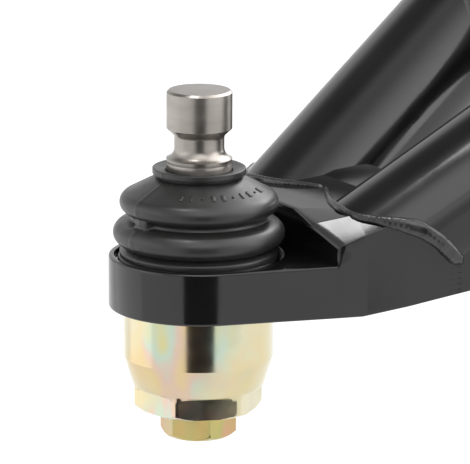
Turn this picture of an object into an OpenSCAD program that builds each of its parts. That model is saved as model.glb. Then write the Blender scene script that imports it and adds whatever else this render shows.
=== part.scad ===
// Tubular suspension control arm with a screw-in ball joint at its nose and two bushed pivots.
// The origin is the middle of the pivot axis. +X runs from the ball joint towards the pivots,
// +Y runs along the pivot axis and +Z runs along the ball stud.

/* [Arm] */
// Distance from the ball stud's axis to the pivot axis, seen from above
arm_reach = 240; // [225:1:260]
// Height of the pivot axis above the nose ring's top face
arm_rise = 84; // [76:1:92]
// Distance between the centres of the two pivot barrels
pivot_spacing = 210; // [196:1:230]

/* [Tubes] */
// Outside diameter of the two leg tubes
leg_d = 38.1; // [36:0.1:39]
// Wall thickness of every tube
tube_wall = 3; // [2:0.25:4]
// Angle between each leg and the arm's centre line, seen from above
leg_splay = 14.5; // [14:0.1:15]
// Angle at which each leg rises from the nose
leg_climb = 32.9; // [32:0.1:34]
// Radius of the bend half way along each leg
bend_r = 60; // [50:1:75]
// Outside diameter of the cross brace
brace_d = 31.8; // [28:0.1:34]
// Distance from the ball stud's axis to the cross brace's axis
brace_x = 126; // [122:1:127]

/* [Nose] */
// Outside radius of the ring around the ball joint
ring_r = 25.5; // [25:0.1:26.5]
// Height of the ring
ring_h = 15; // [14:0.25:16]
// Radius of the shallow recess in the ring's top
recess_r = 23.9; // [23.6:0.1:24.4]
// Height of the raised body's flat top above the ring
step_h = 12; // [10:0.5:13]
// Rise of the raised body's underside towards the legs, in degrees
body_climb = 12; // [10:0.5:13]
// Angle at which the raised body's sides open out, seen from above
body_flare = 21.6; // [20:0.2:23]

/* [Ball joint] */
// Radius of the housing below the ring
housing_r = 21.1; // [20.8:0.1:22]
// Width across the flats of the housing's hexagonal base
base_af = 32; // [30:0.5:33]
// Width across the flats of the grease plug's head
plug_af = 19; // [17:0.5:21]
// Radius of the ball
ball_r = 14.5; // [14:0.1:14.8]
// Radius of the stud's clamped head and shank
stud_r = 9.25; // [9:0.05:9.5]
// Radius of the stud's waist, where the pinch bolt passes
waist_r = 7.05; // [6.6:0.05:7.6]

/* [Pivots] */
// Outside radius of each pivot barrel
barrel_r = 22.25; // [21.75:0.25:23]
// Length of each pivot barrel
barrel_l = 48; // [46:1:52]
// Radius of each barrel's bore
barrel_bore_r = 18; // [17.5:0.25:18.5]
// Outside radius of the inner sleeves
sleeve_r = 9.5; // [9:0.1:10]
// Radius of the bolt hole through the inner sleeves
bolt_r = 7.1; // [6:0.1:7.3]

/* [Hidden] */
$fn = 96;

powder_black = [0.05, 0.05, 0.055];
zinc_gold = [0.85, 0.74, 0.45];
bare_steel = [0.6, 0.58, 0.54];
rubber_black = [0.14, 0.14, 0.14];
bush_grey = [0.2, 0.2, 0.21];
polymer_white = [0.85, 0.85, 0.8];

leg_r = leg_d / 2;
brace_r = brace_d / 2;
eps = 0.01;
// Small clearances: press fits that only touch, running fits that turn
touch_gap = 0.05;
run_gap = 0.06;

// Leg axis, in the ball joint's frame: it passes leg_anchor at the ring's top plane
leg_anchor = [45.7, 23.8, 0];
leg_dir = [cos(leg_climb) * cos(leg_splay), cos(leg_climb) * sin(leg_splay), sin(leg_climb)];
bend_x = 140;
bend_point = leg_anchor + leg_dir * ((bend_x - leg_anchor[0]) / leg_dir[0]);
barrel_centre = [arm_reach, pivot_spacing / 2, arm_rise];
// The upper straights aim at a point outboard of each barrel's middle, so that they land on it squarely
leg_aim = barrel_centre + [0, 12, 0];
leg_start = leg_anchor - leg_dir * 30;
upper_dir = (leg_aim - bend_point) / norm(leg_aim - bend_point);
bend_angle = acos(leg_dir * upper_dir);
bend_start = bend_point - leg_dir * bend_r * tan(bend_angle / 2);
bend_end = bend_point + upper_dir * bend_r * tan(bend_angle / 2);
bend_normal = (upper_dir - leg_dir * (leg_dir * upper_dir)) / sin(bend_angle);
bend_centre = bend_start + bend_normal * bend_r;

// The nose's plan: a circle with a tangent on each side, cut off on slanting back faces
side_x0 = -ring_r * sin(leg_splay);
side_y0 = ring_r * cos(leg_splay);
body_length = 40;
notch_depth = 14;
gusset_x = 41;
gusset_z = 8;
gusset_tilt = 17;
gusset_t = 5;
nose_bead = 4.2;
// Each leg ends on a slanting plane through end_point, which is given for the front (-Y) leg
end_point = [33, -22, 14];
end_tilt = 24.5;
end_turn = 21.8;
function side_y(x) = side_y0 + (x - side_x0) * tan(leg_splay);
step_x = 25.5;
under_x = 33;

// Heights in the ball joint, from the ring's top plane
ball_z = -12;
thread_r = 20;
neck_r = 18.5;
neck_top = 1.5;
cone_top = -29.3;
cone_end = -38.4;
base_bottom = -44.5;
cavity_r = 17.05;
cavity_top = -3.5;
cavity_bottom = -36.2;
plug_shank_r = 9;
plug_bottom = -52.6;
disc_bottom = -53.5;
stud_neck_r = 6.75;
base_turn = -21;
plug_turn = 18;

// Boot profile
boot_wall = 1.6;
boot_seam = [21.3, 10.7];
lower_fold = [20.8, 6.1];
lower_fold_r = 3.6;
upper_fold = [18.9, 14.9];
upper_fold_r = 3.4;
collar_r = 13.2;
collar_z = 22;
collar_top = 25;

bush_flange_r = 24;
bush_flange_t = 6;
sleeve_half = barrel_l / 2 + bush_flange_t + 0.5;
washer_t = 2;
// Room between a leg's end and the flange of the inner bush
flange_gap = 0.8;

function mirror_y(p, side) = [p[0], side * p[1], p[2]];
function arc(c, r, a0, a1, n) = [for (i = [0:n]) c + r * [cos(a0 + (a1 - a0) * i / n), sin(a0 + (a1 - a0) * i / n)]];

// Moves from the ball joint's frame to the arm's frame
module at_joint() {
  translate([-arm_reach, 0, -arm_rise]) children();
}

// A cylinder from a to b
module rod(a, b, r) {
  d = b - a;
  translate(a) rotate([0, acos(d[2] / norm(d)), atan2(d[1], d[0])]) cylinder(r = r, h = norm(d));
}

module barrel_envelope(side, r) {
  translate(mirror_y(barrel_centre, side)) rotate([90, 0, 0]) cylinder(r = r, h = barrel_l, center = true);
}

// Clears the barrel, the flange of its inner bush and everything beyond the pivot axis
module barrel_cope(side) {
  flange_side = side * (barrel_l / 2 - flange_gap);
  translate(mirror_y(barrel_centre, side)) {
    rotate([90, 0, 0]) cylinder(r = barrel_r, h = 3 * barrel_l, center = true);
    translate([0, -flange_side, 0]) rotate([90 * side, 0, 0])
      cylinder(r = bush_flange_r + flange_gap, h = barrel_l);
    translate([0, -60, -60]) cube([60, 120, 120]);
  }
}
module leg_axis_rod(side, r) {
  rod(mirror_y(leg_start, side), mirror_y(bend_point, side), r);
}

// Each leg is one bent tube, made as a lower straight, a bend and an upper straight
module leg_lower(side) {
  color(powder_black) at_joint() difference() {
    rod(mirror_y(leg_start, side), mirror_y(bend_start, side), leg_r);
    leg_axis_rod(side, leg_r - tube_wall);
    raised_hull();
    end_slab(side, -200, 0);
  }
}
module leg_bend(side) {
  n = bend_normal;
  d = leg_dir;
  z = cross(-n, d);
  color(powder_black) at_joint() mirror([0, side < 0 ? 1 : 0, 0]) multmatrix([
    [-n[0], d[0], z[0], bend_centre[0]],
    [-n[1], d[1], z[1], bend_centre[1]],
    [-n[2], d[2], z[2], bend_centre[2]],
    [0, 0, 0, 1]
  ]) rotate_extrude(angle = bend_angle) translate([bend_r, 0]) difference() {
    circle(r = leg_r);
    circle(r = leg_r - tube_wall);
  }
}
module leg_upper(side) {
  color(powder_black) at_joint() difference() {
    rod(mirror_y(bend_end, side), mirror_y(leg_aim, side), leg_r);
    rod(mirror_y(bend_point, side), mirror_y(leg_aim + upper_dir * 5, side), leg_r - tube_wall);
    barrel_cope(side);
  }
}
module front_leg_lower() { leg_lower(-1); }
module rear_leg_lower() { leg_lower(1); }
module front_leg_bend() { leg_bend(-1); }
module rear_leg_bend() { leg_bend(1); }
module front_leg_upper() { leg_upper(-1); }
module rear_leg_upper() { leg_upper(1); }

module cross_brace_tube() {
  p = leg_anchor + leg_dir * ((brace_x - leg_anchor[0]) / leg_dir[0]);
  color(powder_black) at_joint() difference() {
    rod(mirror_y(p, -1), mirror_y(p, 1), brace_r);
    rod(mirror_y(p, -1) - [0, 1, 0], mirror_y(p, 1) + [0, 1, 0], brace_r - tube_wall);
    for (side = [-1, 1]) leg_axis_rod(side, leg_r);
  }
}

// Nose body: the ring with its tangent sides, and the raised body behind the step
module nose_plan() {
  circle(r = ring_r);
  polygon([
    [side_x0, side_y0], [under_x, side_y(under_x)], [under_x, -side_y(under_x)], [side_x0, -side_y0]
  ]);
}
// The raised body is convex: a flat top, a twisted shoulder on each side and full sides
module raised_hull() {
  body_end = under_x + body_length;
  rise = tan(body_climb) * body_length;
  flare = tan(body_flare) * body_length;
  y0 = side_y(under_x);
  hull() for (side = [-1, 1]) for (p = [
    [step_x, y0 - 2.2, -ring_h], [under_x, y0, -ring_h], [body_end, y0 + flare, rise - ring_h],
    [step_x + 0.5, y0 - 2, -2], [under_x + 1, y0 + 1, -3], [body_end, y0 + flare + 0.4, rise - 5],
    [step_x + 1, y0 - 1.8, step_h - 6.4], [under_x + 9, y0 + 5.2, step_h - 1.5],
    [body_end, y0 + flare - 1.5, step_h + 2],
    [step_x, 16, step_h], [under_x + 0.3, y0 - 6, step_h + 1.2], [body_end, 34, step_h + 7]
  ]) translate([p[0], side * p[1], p[2]]) cube(0.02, center = true);
}
module back_notch() {
  body_end = under_x + body_length;
  translate([0, 0, -60]) linear_extrude(120)
    polygon([[body_end + 5, -20], [body_end - notch_depth, -12], [body_end - notch_depth, 12], [body_end + 5, 20]]);
}
module raised_body() {
  difference() {
    raised_hull();
    back_notch();
  }
}
// A slab that lies on the slanting plane where a leg ends, from z0 to z1 along the plane's normal
module end_slab(side, z0, z1) {
  mirror([0, side > 0 ? 1 : 0, 0]) translate(end_point) rotate([0, end_tilt, -end_turn])
    translate([-100, -100, z0]) cube([200, 200, z1 - z0]);
}
module nose_solid() {
  intersection() {
    translate([0, 0, -ring_h]) linear_extrude(ring_h) nose_plan();
    translate([-60, -60, -60]) cube([61 + step_x, 120, 120]);
  }
  raised_body();
}
module nose_body() {
  color(powder_black) at_joint() difference() {
    nose_solid();
    translate([0, 0, -ring_h - 1]) cylinder(r = thread_r, h = ring_h + 20);
    translate([0, 0, -2.5]) cylinder(r = recess_r, h = 30);
  }
}

// Small plate that closes the crotch between the legs
module gusset_slab(gap) {
  translate([gusset_x, 0, gusset_z]) rotate([0, -gusset_tilt, 0]) translate([-gap, -14, -gap])
    cube([21 + 2 * gap, 28, gusset_t + 2 * gap]);
}
module crotch_gusset() {
  color(powder_black) at_joint() difference() {
    gusset_slab(0);
    for (side = [-1, 1]) leg_axis_rod(side, leg_r);
    nose_solid();
  }
}

// Weld bead round one leg where it ends on the nose
module nose_weld(side) {
  color(powder_black) at_joint() difference() {
    intersection() {
      leg_axis_rod(side, leg_r + nose_bead);
      end_slab(side, -nose_bead, nose_bead - 1);
      translate([step_x + 1, side > 0 ? 0.2 : -100.2, -60]) cube([200, 100, 200]);
    }
    leg_axis_rod(side, leg_r);
    nose_solid();
    gusset_slab(touch_gap);
  }
}
module front_nose_weld() { nose_weld(-1); }
module rear_nose_weld() { nose_weld(1); }

module brace_welds() {
  bead = 3.2;
  p = leg_anchor + leg_dir * ((brace_x - leg_anchor[0]) / leg_dir[0]);
  color(powder_black) at_joint() for (side = [-1, 1]) difference() {
    intersection() {
      rod([p[0], 0, p[2]], mirror_y(p, side), brace_r + bead);
      leg_axis_rod(side, leg_r + bead);
    }
    rod([p[0], 0, p[2]], mirror_y(p, side), brace_r);
    leg_axis_rod(side, leg_r);
  }
}
module barrel_welds() {
  bead = 2.8;
  color(powder_black) at_joint() for (side = [-1, 1]) difference() {
    intersection() {
      rod(mirror_y(leg_aim - upper_dir * (barrel_r + 6), side), mirror_y(leg_aim, side), leg_r + bead);
      translate(mirror_y(barrel_centre, side)) cube([120, barrel_l - 1, 120], center = true);
    }
    rod(mirror_y(bend_point, side), mirror_y(leg_aim + upper_dir * 5, side), leg_r);
    barrel_cope(side);
  }
}

// Pivots
module barrel(side) {
  color(powder_black) at_joint() difference() {
    barrel_envelope(side, barrel_r);
    translate(mirror_y(barrel_centre, side)) rotate([90, 0, 0])
      cylinder(r = barrel_bore_r, h = barrel_l + 2, center = true);
  }
}
module front_pivot_barrel() { barrel(-1); }
module rear_pivot_barrel() { barrel(1); }

// One flanged half bush; end is +1 for the half at the barrel's +Y end
module half_bush(side, end) {
  color(bush_grey) at_joint() translate(mirror_y(barrel_centre, side))
    rotate([-90 * end, 0, 0]) rotate_extrude() polygon([
      [sleeve_r + run_gap, 0.5],
      [barrel_bore_r - touch_gap, 0.5],
      [barrel_bore_r - touch_gap, barrel_l / 2],
      [bush_flange_r, barrel_l / 2],
      [bush_flange_r, barrel_l / 2 + bush_flange_t - 1],
      [bush_flange_r - 1, barrel_l / 2 + bush_flange_t],
      [sleeve_r + run_gap, barrel_l / 2 + bush_flange_t]
    ]);
}
module front_outer_bush() { half_bush(-1, -1); }
module front_inner_bush() { half_bush(-1, 1); }
module rear_inner_bush() { half_bush(1, -1); }
module rear_outer_bush() { half_bush(1, 1); }

module inner_sleeve(side) {
  color(bare_steel) at_joint() translate(mirror_y(barrel_centre, side)) rotate([90, 0, 0]) difference() {
    cylinder(r = sleeve_r, h = 2 * sleeve_half, center = true);
    cylinder(r = bolt_r, h = 2 * sleeve_half + 2, center = true);
  }
}
module front_inner_sleeve() { inner_sleeve(-1); }
module rear_inner_sleeve() { inner_sleeve(1); }

module pivot_thrust_washers() {
  color(bare_steel) at_joint() for (side = [-1, 1]) for (end = [-1, 1])
    translate(mirror_y(barrel_centre, side)) rotate([-90 * end, 0, 0]) translate([0, 0, sleeve_half])
      difference() {
        cylinder(r = bush_flange_r - 2, h = washer_t);
        translate([0, 0, -1]) cylinder(r = bolt_r, h = washer_t + 2);
      }
}

// Ball joint
module hex_prism(af, z0, z1, turn) {
  rotate([0, 0, turn]) translate([0, 0, z0]) cylinder(r = af / 2 / cos(30), h = z1 - z0, $fn = 6);
}
module joint_housing() {
  base_r = base_af / 2 / cos(30);
  color(zinc_gold) at_joint() difference() {
    union() {
      translate([0, 0, -2.5]) cylinder(r = neck_r, h = 2.5 + neck_top);
      translate([0, 0, -ring_h]) cylinder(r = thread_r - touch_gap, h = ring_h - 2.5);
      translate([0, 0, cone_top]) cylinder(r = housing_r, h = -ring_h - cone_top);
      translate([0, 0, cone_end]) cylinder(r1 = base_r - 0.2, r2 = housing_r, h = cone_top - cone_end);
      intersection() {
        hex_prism(base_af, base_bottom, cone_end, base_turn);
        rotate_extrude() polygon([
          [0, base_bottom], [base_r - 1.9, base_bottom], [base_r - 0.2, base_bottom + 1],
          [base_r - 0.2, cone_end], [0, cone_end]
        ]);
      }
    }
    translate([0, 0, cavity_bottom]) cylinder(r = cavity_r, h = cavity_top - cavity_bottom);
    translate([0, 0, cavity_top - eps]) cylinder(r1 = 12, r2 = 14.8, h = neck_top - cavity_top + 2 * eps);
    translate([0, 0, base_bottom - 1]) cylinder(r = plug_shank_r + touch_gap, h = 12);
  }
}
module upper_bearing_race() {
  color(bare_steel) at_joint() difference() {
    translate([0, 0, ball_z + 0.1]) cylinder(r = cavity_r - touch_gap, h = cavity_top - ball_z - 0.15);
    translate([0, 0, ball_z]) sphere(r = ball_r + run_gap);
  }
}
module lower_bearing_cup() {
  cup_bottom = -30;
  color(polymer_white) at_joint() difference() {
    translate([0, 0, cup_bottom]) cylinder(r = cavity_r - touch_gap, h = ball_z - 0.1 - cup_bottom);
    translate([0, 0, ball_z]) sphere(r = ball_r + run_gap);
    translate([0, 0, cup_bottom - 1]) cylinder(r = 2, h = 10);
  }
}
module preload_spring() {
  color(bare_steel) at_joint() rotate_extrude() polygon([
    [7, -30.2], [8, -30.2], [15.5, -32], [15.5, -33], [14.5, -33], [7, -31.2]
  ]);
}
module pressure_plate() {
  color(bare_steel) at_joint() translate([0, 0, -36.1]) cylinder(r = cavity_r - touch_gap, h = 3);
}
module grease_plug() {
  head_r = plug_af / 2 / cos(30);
  color(zinc_gold) at_joint() {
    translate([0, 0, base_bottom - eps]) cylinder(r = plug_shank_r, h = 8);
    intersection() {
      hex_prism(plug_af, plug_bottom, base_bottom, plug_turn);
      rotate_extrude() polygon([
        [0, plug_bottom], [plug_af / 2 - 0.6, plug_bottom], [head_r + 0.2, plug_bottom + 1.4],
        [head_r + 0.2, base_bottom], [0, base_bottom]
      ]);
    }
  }
}
module plug_end_disc() {
  color(rubber_black) at_joint() translate([0, 0, disc_bottom]) cylinder(r = 6.4, h = plug_bottom - disc_bottom);
}
module boot_clip_ring() {
  color(bare_steel) at_joint() translate([0, 0, -1]) rotate_extrude() translate([22.2, 0]) circle(r = 0.8, $fn = 24);
}
module boot_lower_fold() {
  outer = arc(lower_fold, lower_fold_r, -68, 62, 8);
  inner = arc(lower_fold, lower_fold_r - boot_wall, 62, -68, 8);
  color(rubber_black) at_joint() rotate_extrude() polygon(concat(
    [[neck_r + 0.3, -2.2], [21, -2.2], [21, 1.4]], outer,
    [boot_seam, boot_seam - [boot_wall, 0]], inner, [[neck_r + 0.3, 1.8]]
  ));
}
module boot_upper_fold() {
  outer = arc(upper_fold, upper_fold_r, -38, 63, 8);
  inner = arc(upper_fold, upper_fold_r - boot_wall, 63, -38, 8);
  color(rubber_black) at_joint() rotate_extrude() polygon(concat(
    [boot_seam], outer, [[collar_r, collar_z - 0.2], [stud_r + 0.3, collar_z - 0.2], [stud_r + 0.3, 20.4],
    [collar_r - 1, 20.4]], inner, [boot_seam - [boot_wall, 0]]
  ));
}
module boot_collar() {
  rim = 1.4;
  color(rubber_black) at_joint() rotate_extrude() polygon([
    [stud_r + 0.3, collar_z - 0.2], [collar_r, collar_z - 0.2], [collar_r, collar_z + rim],
    [collar_r - 0.9, collar_z + rim + 0.2], [collar_r - 0.9, collar_top - 0.5],
    [collar_r - 1.4, collar_top], [stud_r + 0.3, collar_top]
  ]);
}
module ball_stud() {
  color(bare_steel) at_joint() {
    translate([0, 0, ball_z]) sphere(r = ball_r);
    rotate_extrude() polygon([
      [0, ball_z], [stud_neck_r, ball_z], [stud_neck_r, 10], [stud_r, 15], [stud_r, 27.2],
      [stud_r - 1, 28.4], [waist_r + 0.4, 30.4], [waist_r, 32], [waist_r + 0.4, 33.6],
      [stud_r, 36.1], [stud_r, 45.8], [stud_r - 1.4, 47], [0, 47]
    ]);
  }
}

nose_body();
crotch_gusset();
front_leg_lower();
front_leg_bend();
front_leg_upper();
rear_leg_lower();
rear_leg_bend();
rear_leg_upper();
cross_brace_tube();
front_nose_weld();
rear_nose_weld();
brace_welds();
barrel_welds();
front_pivot_barrel();
rear_pivot_barrel();
front_outer_bush();
front_inner_bush();
rear_inner_bush();
rear_outer_bush();
front_inner_sleeve();
rear_inner_sleeve();
pivot_thrust_washers();
joint_housing();
upper_bearing_race();
lower_bearing_cup();
preload_spring();
pressure_plate();
grease_plug();
plug_end_disc();
boot_clip_ring();
boot_lower_fold();
boot_upper_fold();
boot_collar();
ball_stud();
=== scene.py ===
import math
import bpy
import bmesh
from mathutils import Matrix, Vector, noise


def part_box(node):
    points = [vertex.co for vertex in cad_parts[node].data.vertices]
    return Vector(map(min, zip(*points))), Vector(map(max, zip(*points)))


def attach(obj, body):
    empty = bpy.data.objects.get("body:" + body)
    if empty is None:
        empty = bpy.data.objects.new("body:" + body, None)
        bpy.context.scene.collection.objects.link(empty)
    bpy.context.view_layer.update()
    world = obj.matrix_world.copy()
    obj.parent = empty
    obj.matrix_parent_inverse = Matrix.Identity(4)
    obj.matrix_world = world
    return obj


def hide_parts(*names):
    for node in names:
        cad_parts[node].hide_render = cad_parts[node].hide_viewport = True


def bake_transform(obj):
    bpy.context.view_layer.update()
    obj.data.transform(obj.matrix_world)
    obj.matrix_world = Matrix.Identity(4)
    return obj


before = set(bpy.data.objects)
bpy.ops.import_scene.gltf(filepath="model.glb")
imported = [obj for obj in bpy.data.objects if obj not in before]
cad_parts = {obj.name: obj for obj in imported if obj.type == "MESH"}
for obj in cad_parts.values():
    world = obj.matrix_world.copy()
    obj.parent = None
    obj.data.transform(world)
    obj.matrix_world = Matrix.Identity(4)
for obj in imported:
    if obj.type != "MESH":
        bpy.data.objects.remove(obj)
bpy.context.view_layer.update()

MM = 0.001

# ---------------- places
# Lengths below are in millimetres from the middle of the nose ring's top face, on the stud's axis.
STUD_TOP = 47.0
STUD_LOW, STUD_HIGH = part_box("ball_stud")
ORIGIN = Vector(((STUD_LOW.x + STUD_HIGH.x) / 2, 0, STUD_HIGH.z - STUD_TOP * MM))


def at(x, y, z):
    """A point in the row frame, in metres."""
    return ORIGIN + Vector((x, y, z)) * MM


def centre_of(node):
    """The middle of a CAD node's box, in millimetres from the ring."""
    low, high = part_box(node)
    return ((low + high) / 2 - ORIGIN) / MM


# ---------------- camera
VIEW_TURN = math.radians(59)
VIEW_DOWN = math.radians(13.3)
VIEW_ROLL = math.radians(0.34)
VIEW_DISTANCE = 1.2
LENS = 326.3
SENSOR_WIDTH = 36
FAR_CLIP = 20
# How far the camera stands to the right of and above the line to the ring, in metres
AIM_RIGHT = 0.01017
AIM_UP = 0.00592


def make_camera():
    forward = Vector((
        math.cos(VIEW_TURN) * math.cos(VIEW_DOWN),
        math.sin(VIEW_TURN) * math.cos(VIEW_DOWN),
        -math.sin(VIEW_DOWN),
    ))
    level = Vector((math.sin(VIEW_TURN), -math.cos(VIEW_TURN), 0))
    upright = level.cross(forward)
    right = level * math.cos(VIEW_ROLL) + upright * math.sin(VIEW_ROLL)
    up = upright * math.cos(VIEW_ROLL) - level * math.sin(VIEW_ROLL)
    camera = bpy.data.objects.new("camera", bpy.data.cameras.new("camera"))
    camera.data.lens = LENS
    camera.data.sensor_width = SENSOR_WIDTH
    camera.data.clip_end = FAR_CLIP
    place = ORIGIN - forward * VIEW_DISTANCE + right * AIM_RIGHT + up * AIM_UP
    turn = Matrix((right, up, -forward)).transposed().to_4x4()
    camera.matrix_world = Matrix.Translation(place) @ turn
    bpy.context.collection.objects.link(camera)
    bpy.context.scene.camera = camera


# ---------------- materials
# Most of a noise texture's values lie between these
NOISE_LOW, NOISE_HIGH = 0.3, 0.7
COAT_IOR = 1.52
RUBBER_IOR = 1.5


class Nodes:
    """A material being built, with short calls for its nodes."""

    def __init__(self, name):
        self.material = bpy.data.materials.new(name)
        self.material.use_nodes = True
        self.tree = self.material.node_tree
        self.shader = self.tree.nodes["Principled BSDF"]
        self.place = self.add("ShaderNodeTexCoord").outputs["Object"]

    def add(self, kind, **values):
        node = self.tree.nodes.new(kind)
        for key, value in values.items():
            setattr(node, key, value)
        return node

    def link(self, a, b):
        self.tree.links.new(a, b)

    def put(self, value, socket):
        """Links another node's output to a socket, or sets a number or colour on it."""
        if isinstance(value, bpy.types.NodeSocket):
            self.link(value, socket)
        else:
            socket.default_value = value if isinstance(value, (int, float)) else (*value, 1)

    def noise(self, scale, detail, roughness=0.5, stretch=None):
        """A noise over the piece; stretch is its scale along each axis."""
        node = self.add("ShaderNodeTexNoise")
        node.inputs["Scale"].default_value = scale
        node.inputs["Detail"].default_value = detail
        node.inputs["Roughness"].default_value = roughness
        place = self.place
        if stretch:
            mapping = self.add("ShaderNodeMapping")
            mapping.inputs["Scale"].default_value = stretch
            self.link(place, mapping.inputs["Vector"])
            place = mapping.outputs["Vector"]
        self.link(place, node.inputs["Vector"])
        return node.outputs["Fac"]

    def ramp(self, value, stops):
        """A colour by a value, from stops of (value, colour)."""
        node = self.add("ShaderNodeValToRGB")
        elements = node.color_ramp.elements
        while len(elements) < len(stops):
            elements.new(0.5)
        for element, (position, colour) in zip(elements, stops):
            element.position = position
            element.color = (*colour, 1)
        self.link(value, node.inputs["Fac"])
        return node.outputs["Color"]

    def tones(self, value, dark, light):
        """A colour between two, by a noise."""
        return self.ramp(value, [(NOISE_LOW, dark), (NOISE_HIGH, light)])

    def span(self, value, low, high, low_in=NOISE_LOW, high_in=NOISE_HIGH):
        """A value carried from the span of its inputs to another."""
        node = self.add("ShaderNodeMapRange")
        node.inputs["From Min"].default_value = low_in
        node.inputs["From Max"].default_value = high_in
        node.inputs["To Min"].default_value = low
        node.inputs["To Max"].default_value = high
        self.link(value, node.inputs["Value"])
        return node.outputs["Result"]

    def mix(self, factor, a, b):
        node = self.add("ShaderNodeMix", data_type="RGBA")
        for socket, value in ((node.inputs[0], factor), (node.inputs[6], a), (node.inputs[7], b)):
            self.put(value, socket)
        return node.outputs[2]

    def bump(self, *layers):
        """Layers are (height, strength, distance in metres)."""
        last = None
        for height, strength, distance in layers:
            node = self.add("ShaderNodeBump")
            node.inputs["Strength"].default_value = strength
            node.inputs["Distance"].default_value = distance
            self.link(height, node.inputs["Height"])
            if last:
                self.link(last, node.inputs["Normal"])
            last = node.outputs["Normal"]
        self.link(last, self.shader.inputs["Normal"])

    def set(self, **values):
        for key, value in values.items():
            self.put(value, self.shader.inputs[key.replace("_", " ")])


def even_finish(name, tone, roughness, *layers, **values):
    """A finish whose tone and roughness drift a little. tone is a noise and two colours, roughness
    a noise and two numbers, each layer of bump a noise, a strength and a distance in metres."""
    m = Nodes(name)
    colour = m.tones(m.noise(*tone[0]), *tone[1:])
    m.set(Base_Color=colour, Roughness=m.span(m.noise(*roughness[0]), *roughness[1:]), **values)
    m.bump(*[(m.noise(*grain), strength, distance) for grain, strength, distance in layers])
    return m.material


# The noise's values at the plating's tones and film colours, and where a patch of film starts and
# is at its strongest
ZINC_STOPS = (0.30, 0.44, 0.56, 0.70)
FILM_STOPS = (0.40, 0.50, 0.58, 0.68)
PATCH_LOW, PATCH_HIGH = 0.44, 0.62


def yellow_zinc(name, tones, film_tones, most):
    """Chromate over zinc: tones that drift over the surface, with patches of thin-film colours on
    top. Where a patch is strongest, its share is `most`."""
    m = Nodes(name)
    base = m.ramp(m.noise(30, 3, 0.6), list(zip(ZINC_STOPS, tones)))
    film = m.ramp(m.noise(62, 2, 0.6, (1, 1, 0.5)), list(zip(FILM_STOPS, film_tones)))
    patch = m.span(m.noise(42, 2), 0.0, most, PATCH_LOW, PATCH_HIGH)
    m.set(Base_Color=m.mix(patch, base, film), Metallic=1.0, Roughness=m.span(m.noise(120, 3), 0.13, 0.24))
    m.bump((m.noise(2200, 2, 0.5, (0.12, 0.12, 1.0)), 0.05, 0.00003), (m.noise(350, 3), 0.06, 0.00004))
    return m.material


# The largest share of dust on the rubber, and the noise's values where dust starts and is most
DUST_MOST = 0.35
DUST_LOW, DUST_HIGH = 0.45, 0.75


def seal_rubber():
    m = Nodes("dust_boot_rubber")
    dust = m.span(m.noise(130, 4, 0.6), 0.0, DUST_MOST, DUST_LOW, DUST_HIGH)
    m.set(
        Base_Color=m.mix(dust, (0.013, 0.0128, 0.0125), (0.024, 0.0235, 0.0225)),
        Roughness=m.span(m.noise(240, 3), 0.31, 0.42),
        IOR=RUBBER_IOR,
    )
    m.bump((m.noise(1800, 3), 0.15, 0.00005))
    return m.material


# ---------------- mesh tools
MERGE_DISTANCE = 1e-7
TURNED_SEGMENTS = 144
# The most of a side that one rounded corner may take, and the least half angle of a corner
SIDE_SHARE = 0.49
LEAST_HALF_ANGLE = 0.01


def make_piece(name, points, faces, body, material, nodes, crease):
    """A piece from points in millimetres, which stands for some CAD nodes. It rides on a body, or
    on none. Edges sharper than crease, in degrees, are drawn sharp."""
    mesh = bpy.data.meshes.new(name)
    mesh.from_pydata([at(*p) for p in points], [], faces)
    cleaned = bmesh.new()
    cleaned.from_mesh(mesh)
    bmesh.ops.remove_doubles(cleaned, verts=cleaned.verts, dist=MERGE_DISTANCE)
    bmesh.ops.recalc_face_normals(cleaned, faces=cleaned.faces)
    cleaned.to_mesh(mesh)
    cleaned.free()
    mesh.shade_smooth()
    mesh.set_sharp_from_angle(angle=math.radians(crease))
    mesh.materials.append(material)
    piece = bpy.data.objects.new(name, mesh)
    bpy.context.collection.objects.link(piece)
    if body:
        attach(piece, body)
    if nodes:
        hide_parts(*nodes)
    return piece


def rounded(outline, radii, steps=4):
    """A closed outline of 2-D points with each corner rounded; radii is one number or one per corner."""
    count = len(outline)
    if not isinstance(radii, (list, tuple)):
        radii = [radii] * count
    result = []
    for i, (here, radius) in enumerate(zip(outline, radii)):
        p = Vector(here)
        before = Vector(outline[i - 1]) - p
        after = Vector(outline[(i + 1) % count]) - p
        if radius <= 0:
            result.append(tuple(p))
            continue
        cosine = max(-1, min(1, before.normalized().dot(after.normalized())))
        half = max(math.acos(cosine) / 2, LEAST_HALF_ANGLE)
        reach = min(radius / math.tan(half), before.length * SIDE_SHARE, after.length * SIDE_SHARE)
        a, b = p + before.normalized() * reach, p + after.normalized() * reach
        for k in range(steps + 1):
            t = k / steps
            result.append(tuple(a * (1 - t) ** 2 + p * 2 * t * (1 - t) + b * t ** 2))
    return result


def curve_arc(cx, cy, rx, ry, start, stop, steps):
    """Points of an elliptical arc, with its angles in degrees."""
    out = []
    for k in range(steps + 1):
        a = math.radians(start + (stop - start) * k / steps)
        out.append((cx + rx * math.cos(a), cy + ry * math.sin(a)))
    return out


def lathe(outline, segments, shape=None):
    """Points and faces of a closed outline of (radius, height) turned about the stud's axis.
    shape(angle, radius, height) may move a point; it returns (radius, height)."""
    points, faces = [], []
    count = len(outline)
    for s in range(segments):
        angle = 2 * math.pi * s / segments
        for r, z in outline:
            if shape:
                r, z = shape(angle, r, z)
            points.append((r * math.cos(angle), r * math.sin(angle), z))
    for s in range(segments):
        t = (s + 1) % segments
        for i in range(count):
            j = (i + 1) % count
            faces.append((s * count + i, s * count + j, t * count + j, t * count + i))
    return points, faces


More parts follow.
